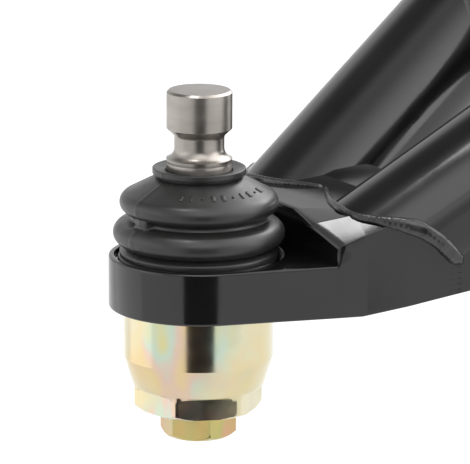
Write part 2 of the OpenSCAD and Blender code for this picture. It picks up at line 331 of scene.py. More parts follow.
def loft(rings, capped=True):
    """Points and faces through rings that have the same number of points."""
    points = [p for ring in rings for p in ring]
    count = len(rings[0])
    faces = []
    for a in range(len(rings) - 1):
        for i in range(count):
            j = (i + 1) % count
            faces.append((a * count + i, a * count + j, (a + 1) * count + j, (a + 1) * count + i))
    if capped:
        faces.append(tuple(range(count)))
        faces.append(tuple((len(rings) - 1) * count + i for i in range(count)))
    return points, faces


def merged(bodies):
    """One list of points and faces from several."""
    points, faces = [], []
    for some_points, some_faces in bodies:
        base = len(points)
        points += some_points
        faces += [tuple(i + base for i in face) for face in some_faces]
    return points, faces


def mixed(a, b, t):
    return a + (b - a) * t


def clamped(t):
    """A share, kept between 0 and 1."""
    return max(0.0, min(1.0, t))


def nearer_root(a, b, c):
    """The lower root of a quadratic, or its lowest point where it has none."""
    return (-b - math.sqrt(max(0.0, b * b - 4 * a * c))) / (2 * a)


def along(table, x):
    """Linear interpolation in a list of (x, values...)."""
    if x <= table[0][0]:
        return table[0][1:]
    for low, high in zip(table, table[1:]):
        if x <= high[0]:
            t = (x - low[0]) / (high[0] - low[0])
            return tuple(mixed(a, b, t) for a, b in zip(low[1:], high[1:]))
    return table[-1][1:]


# ---------------- finishes
COAT = even_finish(
    "gloss_black_powder_coat",
    ((60, 4), (0.0045, 0.0045, 0.0046), (0.0065, 0.0065, 0.0067)), ((90, 3), 0.10, 0.17),
    ((420, 2), 0.10, 0.00006), ((1500, 2), 0.05, 0.00003), IOR=COAT_IOR,
)
WELD = even_finish(
    "powder_coat_over_weld",
    ((300, 4), (0.010, 0.010, 0.010), (0.034, 0.034, 0.0345)), ((500, 3), 0.14, 0.26),
    ((900, 3), 0.25, 0.00012), IOR=COAT_IOR,
)
ZINC = yellow_zinc(
    "yellow_zinc_plate",
    ((0.50, 0.46, 0.30), (0.60, 0.57, 0.40), (0.63, 0.54, 0.33), (0.52, 0.51, 0.36)),
    ((0.64, 0.48, 0.25), (0.60, 0.43, 0.38), (0.40, 0.56, 0.50), (0.56, 0.53, 0.24)), 0.75,
)
DEEP_ZINC = yellow_zinc(
    "deep_yellow_zinc_plate",
    ((0.38, 0.33, 0.11), (0.46, 0.35, 0.12), (0.55, 0.34, 0.15), (0.40, 0.38, 0.12)),
    ((0.56, 0.34, 0.18), (0.52, 0.30, 0.22), (0.36, 0.41, 0.16), (0.50, 0.42, 0.15)), 0.6,
)
# Turning marks are a noise stretched round the stud
STUD_STEEL = even_finish(
    "turned_stud_steel",
    ((240, 3, 0.5, (0.2, 0.2, 1.0)), (0.27, 0.25, 0.23), (0.35, 0.325, 0.30)), ((160, 3), 0.26, 0.36),
    ((3600, 2, 0.5, (0.05, 0.05, 1.0)), 0.12, 0.00004), Metallic=1.0,
)
PLAIN_STEEL, DARK_STEEL = [
    even_finish(
        name, ((150, 3), (tone * 0.9,) * 3, (tone, tone * 0.99, tone * 0.97)), ((200, 3), 0.28, 0.40),
        ((2500, 2), 0.06, 0.00003), Metallic=1.0,
    )
    for name, tone in (("plain_bright_steel", 0.55), ("blackened_spring_steel", 0.05))
]
RUBBER = seal_rubber()
BUSH = even_finish(
    "bush_compound", ((110, 3), (0.018, 0.018, 0.019), (0.03, 0.03, 0.031)), ((160, 3), 0.34, 0.46),
    ((900, 3), 0.12, 0.00006),
)
POLYMER = even_finish(
    "bearing_polymer", ((110, 3), (0.70, 0.69, 0.63), (0.78, 0.77, 0.71)), ((160, 3), 0.45, 0.6),
    ((900, 3), 0.08, 0.00005),
)

# ---------------- ball stud
STUD_R = 9.25
WAIST_R = 7.05
GROOVE_X, GROOVE_Z, GROOVE_R = 10.25, 30.6, 3.2
NECK_R = 6.75
BALL_R = 14.5
BALL_Z = -12
STUD_SEGMENTS = 160


def ball_stud():
    neck_start = math.degrees(math.asin(NECK_R / BALL_R))
    ball = [(r, BALL_Z + z) for r, z in curve_arc(0, 0, BALL_R, BALL_R, -90, 90 - neck_start, 26)]
    ball[0] = (0.0, BALL_Z - BALL_R)
    neck = rounded([(NECK_R, 3), (NECK_R, 9), (STUD_R, 14.6), (STUD_R, 27.3)], [0, 1.5, 1.5, 0.1], 4)
    groove = curve_arc(GROOVE_X, GROOVE_Z, GROOVE_R, GROOVE_R, 253, 180, 12)
    head = rounded(
        [(WAIST_R, 30.9), (WAIST_R, 34.0), (STUD_R, 36.1), (STUD_R, 46.3), (8.6, 46.95), (0.0, STUD_TOP)],
        [0, 1.6, 0.2, 0.15, 0.12, 0], 6,
    )
    points, faces = lathe(ball + neck + groove + head, STUD_SEGMENTS)
    make_piece(
        "ball_stud_turned", points, faces, "stud", STUD_STEEL, ["ball_stud"], crease=25,
    )


# ---------------- boot
BOOT_SEGMENTS = 180
PARTING_ANGLE = math.radians(188)
PARTING_HALF = math.radians(1.6)
PARTING_RISE = 0.25
# The web fills the groove between the folds beside each moulding line
WEB_HALF = math.radians(11)
WEB_FADE = 0.45
WEB_LOW, WEB_HIGH = 9.2, 12.9
WEB_INNER_R, WEB_R = 18.8, 21.1


def parting_ridge(angle, r, z):
    """A low moulding line runs down both sides of the boot, with a web across the groove between
    its folds."""
    rise = 0.0
    for centre in (PARTING_ANGLE, PARTING_ANGLE - math.pi):
        gap = abs((angle - centre + math.pi) % (2 * math.pi) - math.pi)
        if gap < PARTING_HALF:
            rise = max(rise, PARTING_RISE * (1 - gap / PARTING_HALF))
        if gap < WEB_HALF and WEB_LOW < z < WEB_HIGH and WEB_INNER_R < r < WEB_R:
            share = min(1.0, (WEB_HALF - gap) / (WEB_HALF * WEB_FADE))
            r = mixed(r, WEB_R, share * share * (3 - 2 * share))
    return r + rise, z


def rubber_piece(name, points, faces, body, nodes, crease=50):
    return make_piece(name, points, faces, body, RUBBER, nodes, crease)


def boot_lower():
    outer = curve_arc(20.4, 6.3, 3.85, 3.6, -84, 58, 22)
    shelf = rounded([outer[-1], (20.6, 9.9), (19.2, 10.2), (19.0, 10.95)], [0, 0.8, 0.8, 0], 5)
    inner = curve_arc(20.2, 6.2, 2.3, 2.2, 70, -72, 16)
    base = rounded(
        [(18.8, 1.5), (18.8, -2.2), (21.2, -2.2), (22.3, -0.6), (22.4, 1.2), (20.9, 2.4)],
        [0, 0.3, 0.5, 0.6, 0.8, 0.5], 4,
    )
    outline = base + outer + shelf[1:] + [(17.9, 10.95), (17.9, 9.6)] + inner
    points, faces = lathe(outline, BOOT_SEGMENTS, parting_ridge)
    piece = rubber_piece("boot_lower_bellow", points, faces, None, ["boot_lower_fold"])
    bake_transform(piece)


def boot_upper():
    rim = curve_arc(18.7, 15.05, 3.7, 3.3, -58, 63, 24)
    groove = rounded([(18.95, 10.8), (19.1, 11.6), rim[0]], [0, 0.7, 0], 5)
    top = rounded([rim[-1], (12.3, 22.25), (11.6, 22.3), (9.6, 22.2)], [0, 0.5, 0.3, 0], 4)
    inner = [
        (9.6, 20.6), (12.4, 20.4), (17.4, 17.9), (19.6, 16.3), (20.2, 14.8), (19.4, 13.2), (17.8, 12.4),
        (17.8, 10.8),
    ]
    points, faces = lathe(groove[:-1] + rim + top[1:] + inner, BOOT_SEGMENTS, parting_ridge)
    piece = rubber_piece("boot_upper_bellow", points, faces, None, ["boot_upper_fold"])
    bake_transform(piece)


def boot_collar():
    outline = rounded(
        [
            (9.45, 21.4), (11.7, 21.4), (11.8, 22.9), (13.05, 23.0), (13.2, 23.5), (13.2, 24.8), (12.7, 25.0),
            (10.9, 24.55), (9.5, 24.2),
        ],
        [0, 0.2, 0.25, 0.2, 0.3, 0.25, 0.5, 0.6, 0.3], 4,
    )
    points, faces = lathe(outline, TURNED_SEGMENTS, parting_ridge)
    rubber_piece("boot_top_collar", points, faces, "boot_top", ["boot_collar"])


# The raised marks stand in a row round the boot's cone, at this radius and height
MARK_R, MARK_Z = 17.6, 19.6
CONE_SLOPE = math.radians(27)
MARK_START = math.radians(-137)
MARK_STEP = math.radians(9.8)
# Half width and half height of a dot, a thin bar and a wide bar, and the order they stand in
MARK_SIZES = ((0.38, 0.3), (0.3, 1.05), (0.5, 1.05))
MARK_KINDS = (2, 1, 0, 2, 2, 0, 1, 2, 0, 2)
MARK_ROUND = 0.3
# Scale and height above the cone of a mark's layers
MARK_LAYERS = ((1.15, -0.5), (1.1, 0.02), (0.9, 0.16), (0.6, 0.2))


def boot_marks():
    """Plain raised bars and dots, in place of the moulded characters."""
    bodies = []
    for k, kind in enumerate(MARK_KINDS):
        half, tall = MARK_SIZES[kind]
        a = MARK_START + MARK_STEP * k
        out = Vector((math.cos(a), math.sin(a), 0))
        side = Vector((-math.sin(a), math.cos(a), 0))
        up = Vector((0, 0, math.sin(CONE_SLOPE))) - out * math.cos(CONE_SLOPE)
        normal = out * math.sin(CONE_SLOPE) + Vector((0, 0, math.cos(CONE_SLOPE)))
        middle = out * MARK_R + Vector((0, 0, MARK_Z))
        plan = rounded([(-half, -tall), (half, -tall), (half, tall), (-half, tall)], MARK_ROUND, 3)
        rings = [
            [tuple(middle + side * x * s + up * y * s + normal * h) for x, y in plan]
            for s, h in MARK_LAYERS
        ]
        bodies.append(loft(rings))
    points, faces = merged(bodies)
    piece = rubber_piece("boot_raised_marks", points, faces, None, (), crease=40)
    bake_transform(piece)


# ---------------- housing and plug
BASE_APOTHEM = 16.0
BASE_TURN = math.radians(-21)
PLUG_APOTHEM = 9.5
PLUG_TURN = math.radians(18)
# The base's corners are turned down by this much, and the plug's blank is this much over its own
BASE_TRIM = 0.15
PLUG_OVER = 0.05
HEX_SEGMENTS = 240
DISC_SEGMENTS = 96
ROW_SLACK = 0.01
# Rows further in than this share of a hexagon's apothem stay round
HEX_SHARE = 0.9


def chamfer_rows(r, z, inward, down, steps, power):
    """Rows of (radius, height) of the turned chamfer that takes a hexagon's lower corners off."""
    return [(r - inward * (k / steps) ** power, z - down * k / steps) for k in range(1, steps + 1)]


def hexed(apothem, turn, top, bottom):
    """A lathe shape that cuts the rows between two heights down to a hexagon."""
    def shape(angle, r, z):
        if bottom - ROW_SLACK <= z <= top + ROW_SLACK and r > apothem * HEX_SHARE:
            step = (angle - turn) % (math.pi / 3) - math.pi / 6
            r = min(r, apothem / math.cos(step))
        return r, z
    return shape


def housing():
    corner = BASE_APOTHEM / math.cos(math.pi / 6) - BASE_TRIM
    outer = rounded(
        [
            (14.6, 1.4), (18.3, 1.4), (18.4, -2.4), (19.9, -2.5), (19.9, -15.0), (21.0, -15.05),
            (21.1, -15.5), (21.1, -29.3), (corner, -38.3),
        ],
        [0.3, 0.4, 0, 0, 0, 0.1, 0.3, 0.5, 0.25], 4,
    )
    hex_rows = [(corner, z) for z in (-38.55, -39.5, -41, -42.5, -43.4)]
    hex_rows += chamfer_rows(corner, -43.4, inward=1.8, down=1.1, steps=6, power=1.1)
    inner = [(9.05, -44.5), (9.05, -36.2), (17.05, -36.2), (17.05, -3.5), (12.0, -3.5)]
    shape = hexed(BASE_APOTHEM, BASE_TURN, -38.5, -44.5)
    points, faces = lathe(outer + hex_rows + inner, HEX_SEGMENTS, shape)
    make_piece(
        "joint_housing_plated", points, faces, "arm", ZINC, ["joint_housing"], crease=25,
    )


def plug():
    corner = PLUG_APOTHEM / math.cos(math.pi / 6) + PLUG_OVER
    rows = [(0.0, -36.5), (8.9, -36.5), (8.9, -44.45)]
    rows += [(corner, z) for z in (-44.5, -46.0, -48.0, -50.0, -51.1)]
    rows += chamfer_rows(corner, -51.1, inward=2.0, down=1.45, steps=7, power=1.2)
    rows += [(8.6, -52.6), (6.7, -52.6), (6.6, -52.3), (0.0, -52.3)]
    points, faces = lathe(rows, HEX_SEGMENTS, hexed(PLUG_APOTHEM, PLUG_TURN, -44.5, -52.58))
    make_piece(
        "grease_plug_plated", points, faces, "arm", DEEP_ZINC, ["grease_plug"], crease=25,
    )
    disc = rounded(
        [(0.0, -52.2), (6.45, -52.2), (6.4, -53.4), (5.2, -53.5), (0.0, -53.5)], [0, 0, 0.4, 0.3, 0], 4,
    )
    points, faces = lathe(disc, DISC_SEGMENTS)
    rubber_piece("plug_end_seal", points, faces, "arm", ["plug_end_disc"], crease=40)


# ---------------- nose
RING_R = 25.5
RING_H = 15.0
RECESS_R = 23.9
RECESS_DEPTH = 2.5
THREAD_R = 20.0
RING_SEGMENTS = 360
# Distances along the arm of the raised body's front, the horns' ends and the notch between them
STEP_X = 25.5
BACK_X = 73.0
NOTCH_X = 59.0
SIDE_SLOPE = math.radians(14.9)
# The raised body's side stands this far out from the ring's
SIDE_PROUD = 0.02
SIDE_AT_STEP = RING_R / math.cos(SIDE_SLOPE) + STEP_X * math.tan(SIDE_SLOPE) + SIDE_PROUD
# The ring's block ends this far inside the raised body. It is round but for what lies further out
# than the recess by the second distance
BLOCK_INSIDE = 1.1
BLOCK_OUTSIDE = 0.6
# The raised body's edges: the top's edge and the shoulder's inner edge as (x, y, z), the shoulder's
# outer edge and the side's foot as (x, z)
TOP_EDGE = [(25.5, 9.0, 11.9), (33.3, 20.0, 13.2), (73, 30, 19.0)]
SHOULDER_IN = [(25.5, 24.9, 11.2), (33.3, 29.2, 13.2), (40.0, 32.9, 14.9), (73, 38, 18.5)]
SHOULDER_OUT_Z = [(25.5, 5.2), (33.3, 8.5), (42, 11.8), (73, 13.5)]
SIDE_FOOT_Z = [(25.5, -15), (33, -15), (73, -6.5)]
SIDE_STEPS = 14
TOP_ROUND, EDGE_ROUND, FOOT_ROUND = 7.0, 0.5, 0.8
CORNER_STEPS = 5
# The flat side runs back to this kink; behind it the side flares out, less toward the top
KINK_X = 33.5
FLARE_LOW, FLARE_HIGH = 0.16, 0.1
FLARE_TALL = 25
# Further back the stronger flare of the foot is taken back again, at this rate
EASE_X = 45.0
EASE_RATE = 2
# How far the front of the raised body stands toward the stud, by the distance from the middle, and
# how the lean fades: over this run along the arm, and from this height down to the ring's face
FRONT_LEAN = [(14, 0.0), (24.9, 3.3), (33.0, -1.1)]
LEAN_RUN, LEAN_TALL = 7.8, 5
# How much a leaning point also moves inward and down
LEAN_INWARD, LEAN_DOWN = 0.545, 0.24
# An end's rounding fades out below this height
BEVEL_TALL = 3
END_BEVEL = 0.9
BEVEL_STEPS = 4
# Where a horn's inner side starts, and how far out from it the horn's middle is
HORN_INNER = 12
HORN_MIDDLE = 12
NOTCH_SLOPE = 8 / 19
# Distances along the arm of the raised body's sections, and (distance, inset) of a horn's
BODY_STATIONS = (
    27.2, 28.2, 29.3, 30.4, 31.6, 32.6, 33.2, 33.5, 34, 35.6, 37, 39, 41, 43, 45, 47, 52, 56,
)
HORN_STATIONS = (
    (NOTCH_X - 4, 0.6), (NOTCH_X - 1.5, 0.02), (NOTCH_X, 0.0), (62, 0.0), (65, 0.0), (69, 0.0),
)


def side_y(x, z):
    """How far out the nose's side is."""
    flare = mixed(FLARE_LOW, FLARE_HIGH, clamped((z + RING_H) / FLARE_TALL))
    ease = max(0.0, x - EASE_X) * EASE_RATE * (flare - FLARE_HIGH)
    return SIDE_AT_STEP + math.tan(SIDE_SLOPE) * (x - STEP_X) + flare * max(0.0, x - KINK_X) - ease


def ring_block():
    """The ring, with straight sides that run into the raised body."""
    tangent = math.pi / 2 + SIDE_SLOPE
    inside_x = STEP_X + BLOCK_INSIDE
    back_only, side_only = math.radians(45), math.radians(80)

    def reach(angle):
        """How far out the block goes: round in front, straight at the sides and at the back."""
        a = abs((angle + math.pi) % (2 * math.pi) - math.pi)
        if a >= tangent:
            return RING_R
        if a < back_only:
            return inside_x / math.cos(a)
        side = RING_R / math.cos(tangent - a)
        return side if a > side_only else min(side, inside_x / math.cos(a))

    profile = rounded(
        [
            (THREAD_R, -RING_H), (RING_R, -RING_H + 0.02), (RING_R, 0), (RECESS_R, 0),
            (RECESS_R, -RECESS_DEPTH), (THREAD_R, -RECESS_DEPTH),
        ],
        [0.4, 0.9, 0.8, 0.35, 0.3, 0.3], 4,
    )

    def shape(angle, r, z):
        if r > RECESS_R + BLOCK_OUTSIDE:
            r += reach(angle) - RING_R
        return r, z

    return lathe(profile, RING_SEGMENTS, shape)


def body_section(x, inset=0.0, inner=None):
    """The raised body's outline at one distance along the arm, as (y, z) points.
    With inner it is only the half beyond y = inner."""
    top_y, top_z = along(TOP_EDGE, x)
    in_y, in_z = along(SHOULDER_IN, x)
    out_z = along(SHOULDER_OUT_Z, x)[0]
    foot_z = along(SIDE_FOOT_Z, x)[0]
    levels = [mixed(out_z, foot_z, k / SIDE_STEPS) for k in range(1, SIDE_STEPS)]
    side = [(side_y(x, z), z) for z in levels]
    out_y = side_y(x, out_z)
    foot = Vector((side_y(x, foot_z), foot_z))
    half = [(top_y, top_z), (in_y, in_z), (out_y, out_z)] + side + [tuple(foot)]
    radii = [TOP_ROUND, EDGE_ROUND, EDGE_ROUND] + [0] * len(side) + [FOOT_ROUND]
    if inner is None:
        outline = half + [(-y, z) for y, z in reversed(half)]
        radii = radii + radii[::-1]
        middle = Vector((0, (top_z + foot.y) / 2))
    else:
        outline = half + [(inner, foot.y), (inner, top_z)]
        radii = radii + [FOOT_ROUND, FOOT_ROUND]
        middle = Vector((inner + HORN_MIDDLE, (top_z + foot.y) / 2))
    result = []
    for y, z in rounded(outline, radii, CORNER_STEPS):
        away = Vector((y, z)) - middle
        inward = inset * clamped(z / BEVEL_TALL)
        shrunk = max(abs(away.x) - inward, 0)
        result.append((middle.x + math.copysign(shrunk, away.x), z - math.copysign(inward, away.y)))
    return result


def leaned(x, y, z):
    """A point of the raised body, moved where its front leans out over the ring."""
    fade = max(0.0, 1 - (x - STEP_X) / LEAN_RUN) * clamped(z / LEAN_TALL)
    lean = along(FRONT_LEAN, abs(y))[0] * fade
    return (x - lean, y - math.copysign(LEAN_INWARD * lean, y), z - LEAN_DOWN * lean)


def bevel_stations(x, toward):
    """(distance, inset) pairs of a rounded end whose flat is at x; toward is +1 at a far end."""
    turns = [math.pi / 2 * k / BEVEL_STEPS for k in range(BEVEL_STEPS + 1)]
    pairs = [(x - toward * END_BEVEL * (1 - math.sin(a)), END_BEVEL * (1 - math.cos(a))) for a in turns]
    return pairs if toward > 0 else pairs[::-1]


def raised_body():
    """The body as far as the notch, and a horn on each side of it."""
    stations = bevel_stations(STEP_X, -1)
    stations += [(x, 0.0) for x in BODY_STATIONS]
    stations += bevel_stations(NOTCH_X, 1)
    bodies = [loft([[leaned(x, y, z) for y, z in body_section(x, inset)] for x, inset in stations])]
    stations = list(HORN_STATIONS) + bevel_stations(BACK_X, 1)
    for side in (-1, 1):
        rings = []
        for x, inset in stations:
            inner = HORN_INNER + max(0.0, x - NOTCH_X) * NOTCH_SLOPE
            rings.append([(x, side * y, z) for y, z in body_section(x, inset, inner)])
        bodies.append(loft(rings))
    return merged(bodies)


def nose():
    points, faces = merged([raised_body(), ring_block()])
    make_piece("nose_casting", points, faces, "arm", COAT, ["nose_body"], crease=28)


# ---------------- legs
LEG_R = 19.05
LEG_WALL = 3.0
LEG_SPLAY = math.radians(14.5)
LEG_CLIMB = math.radians(32.9)
LEG_ANCHOR = Vector((45.7, 23.8, 0))
BEND_X = 140.0
BEND_R = 60.0
LEG_DIR = Vector((
    math.cos(LEG_CLIMB) * math.cos(LEG_SPLAY),
    math.cos(LEG_CLIMB) * math.sin(LEG_SPLAY),
    math.sin(LEG_CLIMB),
))
BEND_POINT = LEG_ANCHOR + LEG_DIR * ((BEND_X - LEG_ANCHOR.x) / LEG_DIR.x)
BARREL = centre_of("rear_pivot_barrel")
# The upper tube aims at this point on the pivot axis, outside the barrel's middle
LEG_AIM = BARREL + Vector((0, 12, 0))
UPPER_DIR = (LEG_AIM - BEND_POINT).normalized()
BEND_ANGLE = LEG_DIR.angle(UPPER_DIR)
BEND_AXIS = LEG_DIR.cross(UPPER_DIR).normalized()
BEND_TANGENT = BEND_R * math.tan(BEND_ANGLE / 2)
BEND_STEPS = 24
# The lower tube ends near this plane. Round the tube, by the angle in degrees, the end rises from it
END_POINT = Vector((33, 22, 14))
END_NORMAL = Vector((0.385, 0.154, 0.910)).normalized()
END_LIFT = [
    (95, -0.4), (120, 0.0), (133, 1.8), (150, 4.3), (165, 4.8), (185, 2.6), (205, 0.6), (220, 0.0),
]
END_SINK = 0.6
BARREL_R = 22.25
# How far the upper tube runs into the barrel's wall
BARREL_BITE = 2.0


def mirrored(p, side):
    """A point or direction of the +Y side, carried to a side."""
    return Vector((p[0], p[1] * side, p[2]))


def ring_round(middle, direction, radius, count, end=None):
    """Points round a straight tube; each may slide along it by end(point, direction)."""
    across = BEND_AXIS
    other = direction.cross(across).normalized()
    out = []
    for k in range(count):
        a = 2 * math.pi * k / count
        p = middle + (across * math.cos(a) + other * math.sin(a)) * radius
        out.append(p + direction * end(p, direction) if end else p)
    return out


def to_end_plane(p, direction):
    """How far a line of the +Y leg's skin runs back to its end, which rises on the outer side."""
    inner = direction.cross(Vector((0, 0, 1))).normalized()
    above = inner.cross(direction)
    from_axis = p - LEG_ANCHOR
    turn = math.degrees(math.atan2(from_axis.dot(above), from_axis.dot(inner))) % 360
    lift = along(END_LIFT, turn)[0] - END_SINK
    return (END_POINT + END_NORMAL * lift - p).dot(END_NORMAL) / direction.dot(END_NORMAL)


def to_barrel(p, direction, bite=BARREL_BITE):
    """How far a line runs before it is this deep inside the barrel's wall."""
    flat = Vector((p.x - BARREL.x, p.z - BARREL.z))
    way = Vector((direction.x, direction.z))
    return nearer_root(way.dot(way), 2 * flat.dot(way), flat.dot(flat) - (BARREL_R - bite) ** 2)


def leg(side, count=96):
    """A leg's tube, from its end at the nose through its bend and into its barrel."""
    def rings(radius):
        out = [ring_round(LEG_ANCHOR, LEG_DIR, radius, count, to_end_plane)]
        bend_start = BEND_POINT - LEG_DIR * BEND_TANGENT
        toward = UPPER_DIR - LEG_DIR * LEG_DIR.dot(UPPER_DIR)
        centre = bend_start + toward.normalized() * BEND_R
        for k in range(BEND_STEPS + 1):
            turn = Matrix.Rotation(BEND_ANGLE * k / BEND_STEPS, 3, BEND_AXIS)
            out.append(ring_round(centre + turn @ (bend_start - centre), turn @ LEG_DIR, radius, count))
        out.append(ring_round(BEND_POINT + UPPER_DIR * BEND_TANGENT, UPPER_DIR, radius, count, to_barrel))
        return out

    outer, inner = rings(LEG_R), rings(LEG_R - LEG_WALL)
    closed = outer + inner[::-1] + [outer[0]]
    points, faces = loft([[(p.x, side * p.y, p.z) for p in ring] for ring in closed], capped=False)
    name = "rear_leg" if side > 0 else "front_leg"
    nodes = [f"{name}_{part}" for part in ("lower", "bend", "upper")]
    make_piece(name + "_tube", points, faces, "arm", COAT, nodes, crease=40)


# ---------------- weld beads
CURVE_CUTS = 24
SHORTEST = 1e-9


def smooth_line(points, closed, step):
    """A Catmull-Rom line through the points, cut at even steps."""
    points = [Vector(p) for p in points]
    count = len(points)
    dense = []
    spans = count if closed else count - 1
    for i in range(spans):
        near = range(i - 1, i + 3)
        p0, p1, p2, p3 = (points[j % count if closed else max(0, min(count - 1, j))] for j in near)
        for k in range(CURVE_CUTS):
            t = k / CURVE_CUTS
            dense.append(
                p1 + (p2 - p0) * 0.5 * t + (p0 * 2 - p1 * 5 + p2 * 4 - p3) * 0.5 * t * t
                + (p1 * 3 - p0 - p2 * 3 + p3) * 0.5 * t ** 3
            )
    dense.append(points[0].copy() if closed else points[-1].copy())
    lengths = [0.0]
    for a, b in zip(dense, dense[1:]):
        lengths.append(lengths[-1] + (b - a).length)
    total = lengths[-1]
    number = max(4, round(total / step))
    out, j = [], 0
    for k in range(number + (0 if closed else 1)):
        want = total * k / number
        while j < len(lengths) - 2 and lengths[j + 1] < want:
            j += 1
        span = max(lengths[j + 1] - lengths[j], SHORTEST)
        out.append(dense[j].lerp(dense[j + 1], (want - lengths[j]) / span))
    return out, total / number


# Length and depth of a bead's ripples, how far they lag at its edges, and how unevenly they come,
# as (depth, scale) of a noise
RIPPLE = 1.5
RIPPLE_DEPTH = 0.1
RIPPLE_LAG = 0.5
RIPPLE_DRIFT = (0.25, 0.12)
# Unevenness of a bead's skin in the same terms, how much the noise changes from one point round
# the bead to the next, and the share of the bead's size that it moves
FINE_SKIN = (0.16, 0.45)
COARSE_SKIN = (0.3, 0.11)
SKIN_TURN = 0.35
SKIN_SHARE = 0.4
BEAD_WIDER = 1.08
BEAD_STEP = 0.3
BEAD_AROUND = 20
# The run over which a bead's end rounds off, as a share of its half width, and its blunt tip
END_RUN = 1.2
END_TIP = 0.05
CROWN_LEAN = 0.8


def uneven(skin, p, offset):
    """A noise at a point of a bead, by its (depth, scale)."""
    depth, scale = skin
    return depth * noise.noise(p * scale + Vector(offset))


def bead(points, radius, outward, closed=False, seed=0, flat=0.7):
    """A weld bead along a line. radius(t) is its half width, outward(p) its crown's direction and
    flat its height as a share of the half width."""
    line, step = smooth_line(points, closed, BEAD_STEP)
    rings = []
    count = len(line)
    for k, p in enumerate(line):
        before = line[k - 1] if closed or k else line[0]
        after = line[(k + 1) % count] if closed or k < count - 1 else line[-1]
        way = (after - before).normalized()
        crown = outward(p)
        crown = (crown - way * crown.dot(way)).normalized()
        side = way.cross(crown)
        size = radius(k / count)
        if not closed:
            near_end = min(k, count - 1 - k) * step
            size *= math.sqrt(min(1.0, (near_end + END_TIP) / (size * END_RUN)))
        ring = []
        for i in range(BEAD_AROUND):
            a = 2 * math.pi * i / BEAD_AROUND
            lag = RIPPLE_LAG * abs(math.cos(a)) ** 2
            drift = uneven(RIPPLE_DRIFT, p, (seed, 3, 7))
            phase = (k * step / RIPPLE + lag + drift) % 1.0
            ripple = RIPPLE_DEPTH * (1 - (2 * phase - 1) ** 2) * max(0.0, math.sin(a))
            rough = uneven(FINE_SKIN, p, (i * SKIN_TURN, seed, 0)) + uneven(COARSE_SKIN, p, (seed, 0, 0))
            r = size + ripple + rough * size * SKIN_SHARE
            ring.append(tuple(p + side * math.cos(a) * r * BEAD_WIDER + crown * math.sin(a) * r * flat))
        rings.append(ring)
    if closed:
        rings.append(rings[0])
        return loft(rings, capped=False)
    return loft(rings)


def weld_piece(name, points, faces, node):
    make_piece(name, points, faces, "arm", WELD, [node], crease=60)


def leg_axis_point(p, side):
    """The nearest point on a leg's lower axis."""
    q = mirrored(p, side)
    foot = LEG_ANCHOR + LEG_DIR * (q - LEG_ANCHOR).dot(LEG_DIR)
    return mirrored(foot, side)


# Where the rear leg's end meets the nose, from the crotch round its outer side and down
NOSE_BEAD = [
    (41.5, 0.6, 13.9), (37.5, 8, 14.0), (34.6, 14.8, 13.8), (33, 22, 13.6), (32.8, 29.3, 13.0),
    (37.1, 35.2, 12.4), (42.7, 40.4, 11.4), (46.1, 42.7, 10.2), (48.6, 44, 8.7), (51.6, 45.1, 6.3),
    (54.5, 45.3, 3.4), (57.4, 44.8, 0.7), (59, 44.5, -0.9),
]
# Its half width on top of the nose and down its side, and where it widens between the two
BEAD_TOP_R, BEAD_SIDE_R = 1.0, 2.3
WIDEN_AT, WIDEN_OVER = 0.55, 0.15


def nose_weld(side):
    def outward(p):
        return (p - leg_axis_point(p, side)).normalized() - mirrored(LEG_DIR, side) * CROWN_LEAN

    def radius(t):
        return mixed(BEAD_TOP_R, BEAD_SIDE_R, clamped((t - WIDEN_AT) / WIDEN_OVER))

    line = [mirrored(p, side) for p in NOSE_BEAD]
    points, faces = bead(line, radius, outward, seed=3 + side)
    name = "rear_nose_weld" if side > 0 else "front_nose_weld"
    weld_piece(name + "_bead", points, faces, name)


BRACE_R = 15.9
BRACE_X = 126.0
BRACE_POINT = LEG_ANCHOR + LEG_DIR * ((BRACE_X - LEG_ANCHOR.x) / LEG_DIR.x)
BRACE_BEAD_R = 4.0
BRACE_BEAD_FLAT = 0.5
BRACE_BEAD_SINK = 0.4


def brace_weld_line(side, count=40):
    """Where the brace's skin meets a leg's skin."""
    out = []
    for k in range(count):
        a = 2 * math.pi * k / count
        start = Vector((BRACE_POINT.x + BRACE_R * math.cos(a), 0, BRACE_POINT.z + BRACE_R * math.sin(a)))
        to_axis = start - LEG_ANCHOR
        u = Vector((0, 1, 0)) - LEG_DIR * LEG_DIR.y
        w = to_axis - LEG_DIR * to_axis.dot(LEG_DIR)
        y = nearer_root(u.dot(u), 2 * u.dot(w), w.dot(w) - LEG_R ** 2)
        out.append((start.x, side * (y - BRACE_BEAD_SINK), start.z))
    return out


def brace_welds():
    bodies = []
    for side in (-1, 1):
        def outward(p):
            from_brace = Vector((p.x - BRACE_POINT.x, 0, p.z - BRACE_POINT.z)).normalized()
            return from_brace + Vector((0, -side, 0)) * CROWN_LEAN

        bodies.append(bead(
            brace_weld_line(side), lambda t: BRACE_BEAD_R, outward, closed=True, seed=20 + side,
            flat=BRACE_BEAD_FLAT,
        ))
    points, faces = merged(bodies)
    weld_piece("brace_weld_beads", points, faces, "brace_welds")


BARREL_BEAD_R = 2.4
BARREL_BEAD_CLEAR = 0.3
BARREL_BEAD_REACH = 21.0
# Each line of the tube's skin is followed to the barrel from this far before the pivot axis
LINE_START = 60


def barrel_weld_line(side, count=48):
    """Where a leg's skin meets its barrel, kept clear of the barrel's ends."""
    out = []
    for skin in ring_round(LEG_AIM, UPPER_DIR, LEG_R, count):
        p = skin - UPPER_DIR * LINE_START
        q = p + UPPER_DIR * to_barrel(p, UPPER_DIR, -BARREL_BEAD_CLEAR)
        y = max(BARREL.y - BARREL_BEAD_REACH, min(BARREL.y + BARREL_BEAD_REACH, q.y))
        out.append((q.x, side * y, q.z))
    return out


